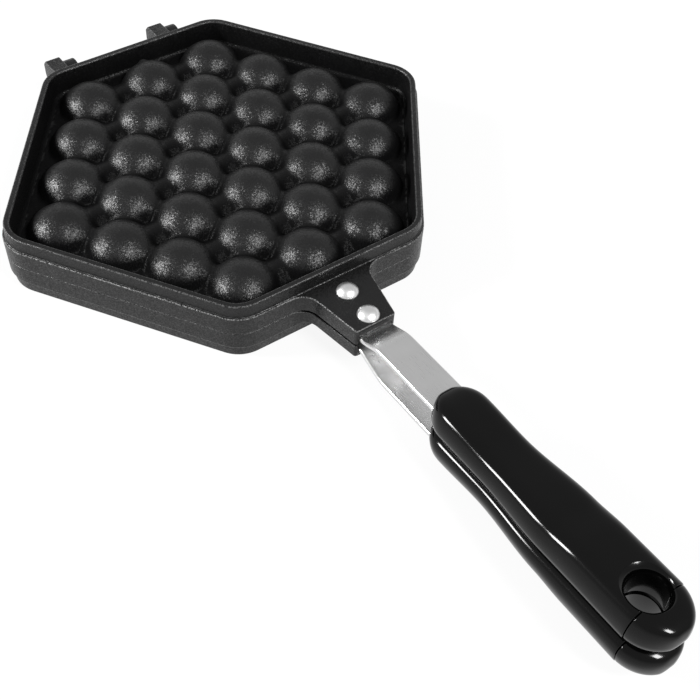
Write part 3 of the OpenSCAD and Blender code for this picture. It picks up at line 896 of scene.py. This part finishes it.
def coat_material(name, coat):
    """Dark non-stick coating on a cast skin: fine flakes that each tilt a little over soft cast
    waviness, slight mottling, a painted edge highlight of bright grains where the painted light
    value is high, and painted shade, less shine down between the domes, where it is below 0."""
    material, tree, shader = new_material(name)
    link = tree.links.new
    where = add(tree, "ShaderNodeTexCoord").outputs["Object"]
    flakes = add(tree, "ShaderNodeTexVoronoi", feature="F1", Scale=FLAKE_SCALE, Randomness=1.0)
    link(where, flakes.inputs["Vector"])
    centred = add(tree, "ShaderNodeVectorMath", operation="SUBTRACT")
    centred.inputs[1].default_value = (0.5, 0.5, 0.5)
    tilt = add(tree, "ShaderNodeVectorMath", operation="SCALE", Scale=FLAKE_TILT)
    tilted = fed(tree, tilt, fed(tree, centred, flakes.outputs["Color"]))
    skin = bumped(tree, noise(tree, where, 190.0, 4.0, 0.55), 0.05, 0.0003)
    leaned = fed(tree, add(tree, "ShaderNodeVectorMath", operation="ADD"), skin, tilted)
    unit = fed(tree, add(tree, "ShaderNodeVectorMath", operation="NORMALIZE"), leaned)
    link(unit, shader.inputs["Normal"])

    mottle = noise(tree, where, 45.0, 5.0, 0.6)
    base = add(tree, "ShaderNodeMix", data_type="RGBA")
    base.inputs["A"].default_value = (*[c * 0.8 for c in coat], 1)
    base.inputs["B"].default_value = (*[c * 1.25 for c in coat], 1)
    link(mottle, base.inputs["Factor"])
    # Painted light: grey grains as a painted edge highlight where it is above 0
    painted_light = add(tree, "ShaderNodeAttribute", attribute_name="painted_light_level").outputs["Fac"]
    grains = ranged(tree, noise(tree, where, 1500.0, 2.0, 0.6), (0.42, 0.58), (0.0, 1.0))
    painted_highlight_share = fed(tree, add(tree, "ShaderNodeMath", operation="MULTIPLY"), painted_light, grains)
    colour = add(tree, "ShaderNodeMix", data_type="RGBA")
    colour.inputs["B"].default_value = PAINTED_HIGHLIGHT_GREY
    link(painted_highlight_share, colour.inputs["Factor"])
    link(base.outputs["Result"], colour.inputs["A"])
    link(colour.outputs["Result"], shader.inputs["Base Color"])
    link(ranged(tree, mottle, (0.0, 1.0), (0.32, 0.42)), shader.inputs["Roughness"])
    # Painted shade: less shine where the painted light value is below 0
    link(ranged(tree, painted_light, (-1.0, 0.0), PAINTED_SHADE_SHINE), shader.inputs["Specular IOR Level"])
    return material


def steel_material(name, colour, roughness, grain):
    """Polished steel: long fine scratches as small changes in gloss and height, on a bright metal."""
    material, tree, shader = new_material(name)
    link = tree.links.new
    where = add(tree, "ShaderNodeTexCoord").outputs["Object"]
    stretch = add(tree, "ShaderNodeMapping")
    stretch.inputs["Scale"].default_value = (60.0, 2600.0, 2600.0)
    scratches = noise(tree, fed(tree, stretch, where), 1.0, 3.0)
    both = add(tree, "ShaderNodeMath", operation="ADD")
    uneven = fed(tree, both, scratches, noise(tree, where, 70.0, 4.0))
    gloss = ranged(tree, uneven, (0.6, 1.4), (roughness * 0.75, roughness * 1.3))
    link(gloss, shader.inputs["Roughness"])
    link(bumped(tree, scratches, grain, 0.00005), shader.inputs["Normal"])
    shader.inputs["Base Color"].default_value = (*colour, 1)
    shader.inputs["Metallic"].default_value = 1.0
    return material


def plastic_material(name, colour):
    """Glossy black moulding: deep colour, a faint flow unevenness and almost clear gloss."""
    material, tree, shader = new_material(name)
    link = tree.links.new
    where = add(tree, "ShaderNodeTexCoord").outputs["Object"]
    flow = noise(tree, where, 38.0, 3.0)
    link(bumped(tree, flow, 0.05, 0.0004), shader.inputs["Normal"])
    link(ranged(tree, flow, (0.0, 1.0), (0.1, 0.15)), shader.inputs["Roughness"])
    shader.inputs["Base Color"].default_value = (*colour, 1)
    shader.inputs["Specular IOR Level"].default_value = 0.2
    return material


# Studio

# Share of plain white on the floor, the room's light, and its fall from the horizon up
FLOOR_HALF = 4.0
FLOOR_Z = -0.0002
FLOOR_WHITE = 0.9
ROOM_GREY = (0.45, 0.45, 0.45, 1)
ROOM_RISE = (0.0, 0.42)
ROOM_FALL = (1.0, 0.55)

# Lamps: azimuth and height in degrees, and distance, side and aim in metres
KEY_FROM = (-123, 29)
SIDE_FROM = (17, 52)
LAMP_FAR = 2.0
LAMP_SIDE = 0.45
LAMP_AIM = (0.0, 0.0, 0.02)


def seen_rays(tree):
    """Is the ray from the camera, and is it a camera, glossy or transmission ray: 1 or 0."""
    paths = add(tree, "ShaderNodeLightPath").outputs
    seen = fed(tree, add(tree, "ShaderNodeMath", operation="MAXIMUM"),
               paths["Is Camera Ray"], paths["Is Glossy Ray"])
    seen = fed(tree, add(tree, "ShaderNodeMath", operation="MAXIMUM"),
               seen, paths["Is Transmission Ray"])
    return paths["Is Camera Ray"], seen


def build_floor(scene):
    """A matt floor that keeps the shadow, and that seen rays also find nearly white."""
    material, tree, shader = new_material("pale floor")
    shader.inputs["Base Color"].default_value = (0.8, 0.8, 0.8, 1)
    shader.inputs["Roughness"].default_value = 0.7
    share = add(tree, "ShaderNodeMath", operation="MULTIPLY")
    share.inputs[1].default_value = FLOOR_WHITE
    factor = fed(tree, share, seen_rays(tree)[1])
    white = add(tree, "ShaderNodeEmission", Strength=1.0).outputs[0]
    mixed = fed(tree, add(tree, "ShaderNodeMixShader"), factor, shader.outputs[0], white)
    tree.links.new(mixed, tree.nodes["Material Output"].inputs["Surface"])
    far, z = FLOOR_HALF, FLOOR_Z
    mesh = bpy.data.meshes.new("floor")
    mesh.from_pydata([(-far, -far, z), (far, -far, z), (far, far, z), (-far, far, z)], [], [(0, 1, 2, 3)])
    mesh.materials.append(material)
    floor = bpy.data.objects.new("floor", mesh)
    scene.collection.objects.link(floor)
    floor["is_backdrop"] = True


def build_world(scene):
    """An even grey light, which seen rays find as a pale room that darkens from the horizon up.
    The camera sees it plain white."""
    world = bpy.data.worlds.new("pale room")
    world.use_nodes = True
    tree = world.node_tree
    ground = tree.nodes["Background"]
    ground.inputs["Color"].default_value = ROOM_GREY
    ground.inputs["Strength"].default_value = 1.0
    pale = add(tree, "ShaderNodeBackground", Strength=1.0)
    where = add(tree, "ShaderNodeTexCoord").outputs["Generated"]
    split = add(tree, "ShaderNodeSeparateXYZ")
    tree.links.new(where, split.inputs[0])
    room = ranged(tree, split.outputs["Z"], ROOM_RISE, ROOM_FALL)
    camera_ray, seen = seen_rays(tree)
    plain = fed(tree, add(tree, "ShaderNodeMath", operation="MAXIMUM"), room, camera_ray)
    mixed = fed(tree, add(tree, "ShaderNodeMixShader"), seen, ground.outputs[0], fed(tree, pale, plain))
    tree.links.new(mixed, tree.nodes["World Output"].inputs["Surface"])
    scene.world = world


def aim(place, target):
    """Placement of a lamp at place that shines at target."""
    back = (place - target) / np.linalg.norm(place - target)
    right = np.cross([0, 0, 1], back)
    right /= np.linalg.norm(right)
    turn = np.column_stack([right, np.cross(back, right), back])
    return Matrix.Translation(place.tolist()) @ Matrix(turn.tolist()).to_4x4()


def build_lamps(scene, stage):
    """Two square soft lights: place = aim + far * (cos a cos e, sin a cos e, sin e)."""
    target = np.array(LAMP_AIM)
    for name, angles, power in (("key", KEY_FROM, stage.key_w), ("side", SIDE_FROM, stage.side_w)):
        lamp = bpy.data.lights.new(name, "AREA")
        lamp.shape, lamp.size, lamp.size_y, lamp.energy = "RECTANGLE", LAMP_SIDE, LAMP_SIDE, power
        a, e = np.radians(angles)
        place = target + LAMP_FAR * np.array([np.cos(a) * np.cos(e), np.sin(a) * np.cos(e), np.sin(e)])
        lamp_object = bpy.data.objects.new(name, lamp)
        lamp_object.matrix_world = aim(place, target)
        scene.collection.objects.link(lamp_object)


def build_camera(scene):
    """The camera, at its place in the pan's axes."""
    camera = bpy.data.cameras.new("camera")
    camera.lens, camera.sensor_width, camera.sensor_fit = LENS_MM, SENSOR_MM, "HORIZONTAL"
    camera.clip_start, camera.clip_end = 0.01, 20.0
    eye = bpy.data.objects.new("camera", camera)
    turn = np.column_stack([CAMERA_RIGHT, CAMERA_UP, CAMERA_BACK])
    place = Matrix.Translation(to_frame(CAMERA_AT).tolist())
    eye.matrix_world = place @ Matrix(turn.tolist()).to_4x4()
    scene.collection.objects.link(eye)
    scene.camera = eye


# Operators

class PanOperator:
    """What the pieces' operators share: each has a build function of its own"""
    bl_options = {"REGISTER", "UNDO"}

    def execute(self, context):
        self.build(context.scene.pan_cast, context.scene.pan_handle)
        return {"FINISHED"}


class PAN_OT_upper_cast(PanOperator, Operator):
    """Build the upper cast half"""
    bl_idname = "pan.upper_cast"
    bl_label = "Upper cast half"

    def build(self, cast, handle):
        parts = [rim_part(cast, FLANGE_H), *dish_parts(cast), dish_edge(cast)]
        parts += [lug_part(UPPER_KNUCKLE, hinge_start(side), UPPER_KNUCKLE_W) for side in (-1, 1)]
        make_piece("upper_cast", parts, "upper_half", coat_material("upper coating", cast.coat),
                   ["upper_plate"])


class PAN_OT_lower_cast(PanOperator, Operator):
    """Build the lower cast half"""
    bl_idname = "pan.lower_cast"
    bl_label = "Lower cast half"

    def build(self, cast, handle):
        parts = [rim_part(cast, LOWER_TANG_TOP), *dish_parts(cast), dish_edge(cast)]
        beside = UPPER_KNUCKLE_W + KNUCKLE_GAP
        parts += [lug_part(LOWER_KNUCKLE, hinge_start(side) + beside, LOWER_KNUCKLE_W) for side in (-1, 1)]
        make_piece("lower_cast", mirrored(parts), "lower_half", coat_material("lower coating", cast.coat),
                   ["lower_plate"])


class PAN_OT_straps(PanOperator, Operator):
    """Build the two bent straps"""
    bl_idname = "pan.straps"
    bl_label = "Straps"

    def build(self, cast, handle):
        steel = steel_material("strap steel", handle.steel, 0.3, 0.04)
        upper, lower = strap_part(handle, 1, UPPER_RISE_L), strap_part(handle, -1, LOWER_RISE_L)
        make_piece("upper_strap_bar", [upper], "upper_half", steel, ["upper_strap"])
        make_piece("lower_strap_bar", mirrored([lower]), "lower_half", steel,
                   ["lower_strap"])


class PAN_OT_rivets(PanOperator, Operator):
    """Build the four rivets"""
    bl_idname = "pan.rivets"
    bl_label = "Rivets"

    def build(self, cast, handle):
        steel = steel_material("rivet metal", (0.8, 0.8, 0.8), 0.36, 0.3)
        for name, x in RIVET_PLACES.items():
            upper, lower = rivet_part(x, FLANGE_H), rivet_part(x, LOWER_TANG_TOP)
            make_piece(f"upper_{name}_rivet_body", [upper], "upper_half", steel,
                       [f"upper_{name}_rivet"])
            make_piece(f"lower_{name}_rivet_body", mirrored([lower]), "lower_half", steel,
                       [f"lower_{name}_rivet"])


class PAN_OT_pins(PanOperator, Operator):
    """Build the two hinge pins"""
    bl_idname = "pan.pins"
    bl_label = "Hinge pins"

    def build(self, cast, handle):
        steel = steel_material("pin steel", (0.6, 0.6, 0.61), 0.28, 0.4)
        for name, side in (("left", 1), ("right", -1)):
            make_piece(f"{name}_pin_rod", [pin_part(side)], "lower_half", steel,
                       [f"{name}_hinge_pin"])


class PAN_OT_grips(PanOperator, Operator):
    """Build the two moulded grips"""
    bl_idname = "pan.grips"
    bl_label = "Grips"

    def build(self, cast, handle):
        plastic = plastic_material("grip plastic", handle.plastic)
        away, drawn_in = seam_edge()
        cap = CAP_L * (1 - np.sin(np.radians(np.arange(86, 5, -7))))
        body = np.linspace(CAP_L, SEAM - 2 * SEAM_EDGE, 60)
        places = np.concatenate([cap, body, SEAM - away[::-1]])
        drawn_in = np.concatenate([np.zeros(len(cap) + len(body)), drawn_in[::-1]])
        handle_pair(handle, grip_skin(places, 0.0, drawn_in), plastic, "grip")


class PAN_OT_rings(PanOperator, Operator):
    """Build the two hang rings"""
    bl_idname = "pan.rings"
    bl_label = "Hang rings"

    def build(self, cast, handle):
        plastic = plastic_material("ring plastic", handle.plastic)
        away, drawn_in = seam_edge()
        nose = GRIP_L - NOSE_L + NOSE_L * np.sin(np.radians(np.arange(6, 89, 3.5)))
        nose = nose[nose > SEAM + away[-1] + 0.1]
        places = np.concatenate([SEAM + away, nose])
        drawn_in = np.concatenate([drawn_in, np.zeros(len(nose))])
        handle_pair(handle, grip_skin(places, RING_DROP, drawn_in), plastic, "hang_ring")


class PAN_OT_stage(Operator):
    """Build the floor, the soft lights, the pale world and the camera"""
    bl_idname = "pan.stage"
    bl_label = "Studio"

    def execute(self, context):
        scene = context.scene
        build_floor(scene)
        build_world(scene)
        build_lamps(scene, scene.pan_stage)
        build_camera(scene)
        scene.view_settings.view_transform = "Standard"
        return {"FINISHED"}


class PAN_PT_panel(Panel):
    """Buttons that build each piece of the pan"""
    bl_label = "Egg waffle pan"
    bl_idname = "PAN_PT_panel"
    bl_space_type = "VIEW_3D"
    bl_region_type = "UI"
    bl_category = "Waffle pan"

    def draw(self, context):
        for group in (context.scene.pan_cast, context.scene.pan_handle, context.scene.pan_stage):
            for key in group.__annotations__:
                self.layout.prop(group, key)
        for name in STEPS:
            self.layout.operator("pan." + name)


STEPS = ["upper_cast", "lower_cast", "straps", "rivets", "pins", "grips", "rings", "stage"]
CLASSES = [CastProps, HandleProps, StageProps, PAN_OT_upper_cast, PAN_OT_lower_cast, PAN_OT_straps,
           PAN_OT_rivets, PAN_OT_pins, PAN_OT_grips, PAN_OT_rings, PAN_OT_stage, PAN_PT_panel]


def register():
    for cls in CLASSES:
        bpy.utils.register_class(cls)
    bpy.types.Scene.pan_cast = PointerProperty(type=CastProps)
    bpy.types.Scene.pan_handle = PointerProperty(type=HandleProps)
    bpy.types.Scene.pan_stage = PointerProperty(type=StageProps)


def unregister():
    del bpy.types.Scene.pan_stage, bpy.types.Scene.pan_handle, bpy.types.Scene.pan_cast
    for cls in reversed(CLASSES):
        bpy.utils.unregister_class(cls)


def main():
    register()
    for name in STEPS:
        getattr(bpy.ops.pan, name)()
    boxes = {"cad": CAD_BOX, "visual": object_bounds()}
    {key: [list(corner) for corner in box] for key, box in boxes.items()}


if __name__ == "__main__":
    main()
